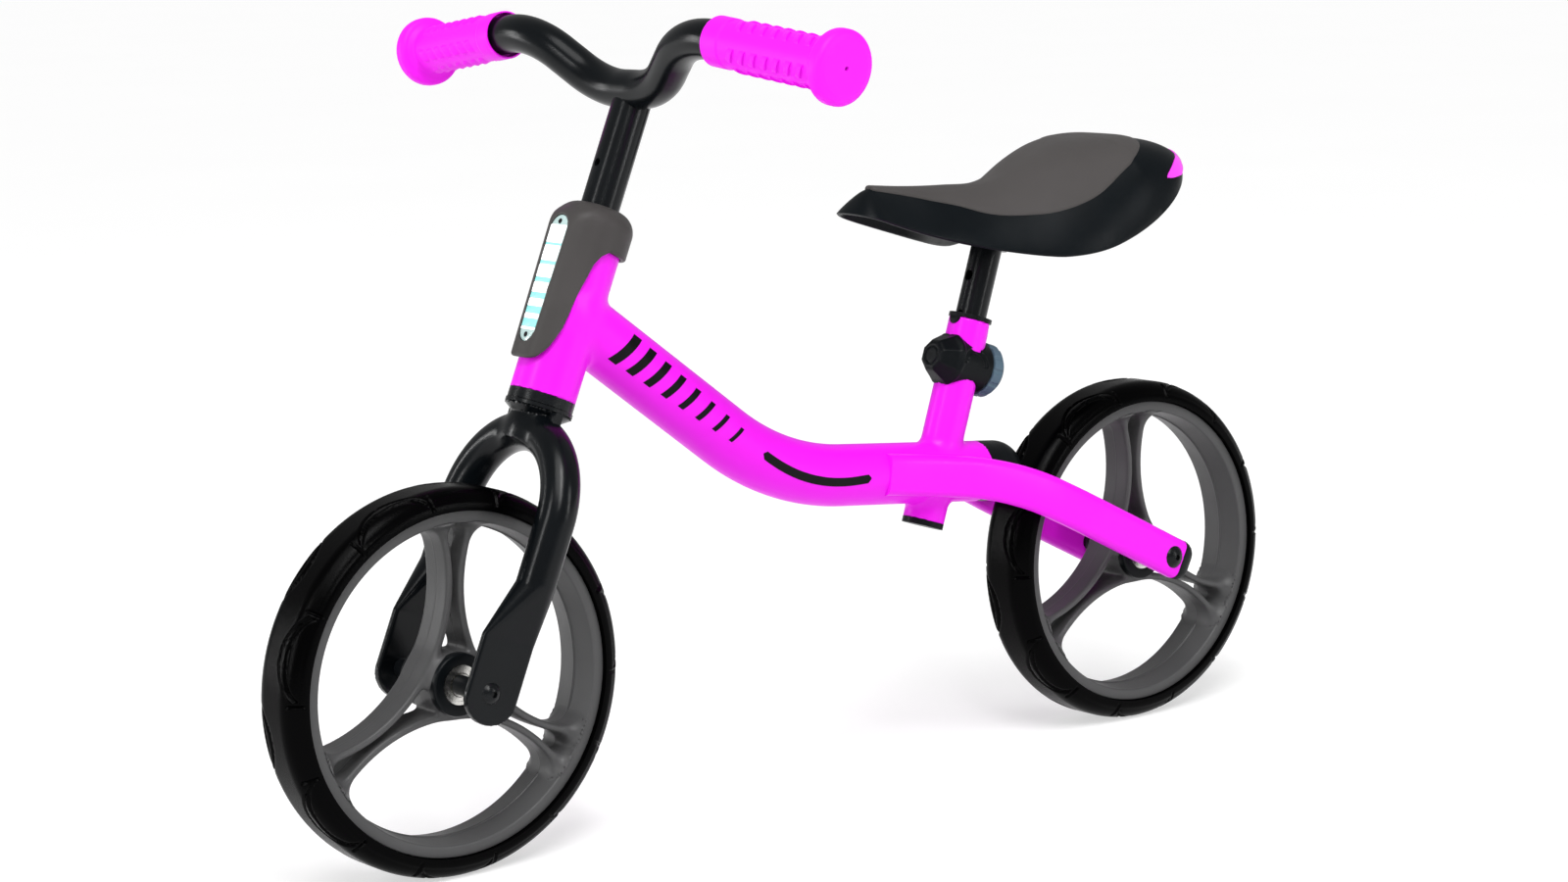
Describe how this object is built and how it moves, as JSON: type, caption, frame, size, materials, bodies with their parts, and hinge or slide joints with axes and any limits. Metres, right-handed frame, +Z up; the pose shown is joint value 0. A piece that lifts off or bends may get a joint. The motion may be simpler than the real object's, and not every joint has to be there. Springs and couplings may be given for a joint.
{
  "type": "balance bike",
  "caption": "Toddler's balance bike with a curved main tube, hoop fork, moulded spoked wheels, solid tyres, adjustable saddle and bars, and a light in the head cover.",
  "frame": {"origin": "on the ground, midway between the two axles and on the middle plane", "axes": "+Z up, -Y is the way the bike faces, +X is the rider's left"},
  "size_m": [0.3992, 0.733, 0.4639],
  "materials": {
    "frame_paint": "gloss powder coat",
    "grip_rubber": "soft satin",
    "black_coat": "satin powder coat",
    "black_plastic": "moulded, fine texture",
    "wheel_plastic": "moulded, matte",
    "cover_plastic": "moulded, fine texture",
    "tyre_foam": "matte",
    "saddle_shell": "satin moulded",
    "saddle_pad": "soft matte",
    "tail_plastic": "translucent gloss",
    "knob_plastic": "moulded, satin",
    "clear_lens": "clear, faintly blue",
    "board": "solder mask",
    "zinc": "zinc plated",
    "black_steel": "black oxide",
    "bearing_steel": "polished"
  },
  "bodies": {
    "frame": {"head_tube": "frame_paint", "main_tube": "frame_paint", "seat_tube": "frame_paint", "stay_left": "frame_paint", "stay_right": "frame_paint", "main_tube_cap": "black_plastic", "seat_tube_cap": "black_plastic", "stay_cap_left": "black_plastic", "stay_cap_right": "black_plastic", "head_cover": "cover_plastic", "light_lens": "clear_lens", "light_board": "board", "light_cells": "zinc", "lens_screws": "black_steel", "lower_cup": "black_steel", "lower_bearing": "bearing_steel", "upper_cup": "black_steel", "upper_bearing": "bearing_steel", "post_bush": "black_plastic", "clamp_body": "black_plastic", "rear_axle": "zinc", "rear_axle_bolts": "black_steel", "rear_spacers": "black_plastic", "rear_bearing_inners": "bearing_steel"},
    "fork": {"steerer": "black_coat", "fork_blades": "black_coat", "crown_gussets": "black_coat", "crown_race": "black_steel", "head_locknut": "black_steel", "stem_collar": "black_steel", "stem_screw": "zinc", "front_axle": "zinc", "front_axle_bolts": "black_steel", "front_spacers": "black_plastic", "front_bearing_inners": "bearing_steel"},
    "front_wheel": {"front_rim": "wheel_plastic", "front_spokes": "wheel_plastic", "front_tyre": "tyre_foam", "front_bearing_outers": "bearing_steel"},
    "bars": {"stem_tube": "black_coat", "handlebar": "black_coat", "grip_left": "grip_rubber", "grip_right": "grip_rubber"},
    "rear_wheel": {"rear_rim": "wheel_plastic", "rear_spokes": "wheel_plastic", "rear_tyre": "tyre_foam", "rear_bearing_outers": "bearing_steel"},
    "seat": {"seat_post": "black_coat", "post_plug": "black_plastic", "saddle_bracket": "black_coat", "saddle_shell": "saddle_shell", "saddle_pad": "saddle_pad", "saddle_tail": "tail_plastic", "saddle_bolts": "zinc"},
    "knob": {"clamp_knob": "knob_plastic", "clamp_stud": "zinc"}
  },
  "joints": [
    {"name": "steering", "type": "hinge", "parent": "frame", "child": "fork", "pos_m": [0, -0.18607, 0.25646], "axis": [0, 0.3955, 0.9184], "range_deg": [-55, 55]},
    {"name": "front_wheel_spin", "type": "hinge", "parent": "fork", "child": "front_wheel", "pos_m": [0, -0.2585, 0.108], "axis": [1, 0, 0], "continuous": true},
    {"name": "bar_height", "type": "slide", "parent": "fork", "child": "bars", "axis": [0, 0.3955, 0.9184], "range_m": [-0.03, 0.03]},
    {"name": "rear_wheel_spin", "type": "hinge", "parent": "frame", "child": "rear_wheel", "pos_m": [0, 0.2585, 0.108], "axis": [1, 0, 0], "continuous": true},
    {"name": "seat_height", "type": "slide", "parent": "frame", "child": "seat", "axis": [0, 0.3256, 0.9455], "range_m": [-0.025, 0.055]},
    {"name": "clamp_knob", "type": "hinge", "parent": "frame", "child": "knob", "pos_m": [0, 0.13525, 0.23701], "axis": [0, 0.9455, -0.3256], "range_deg": [-360, 0]}
  ]
}
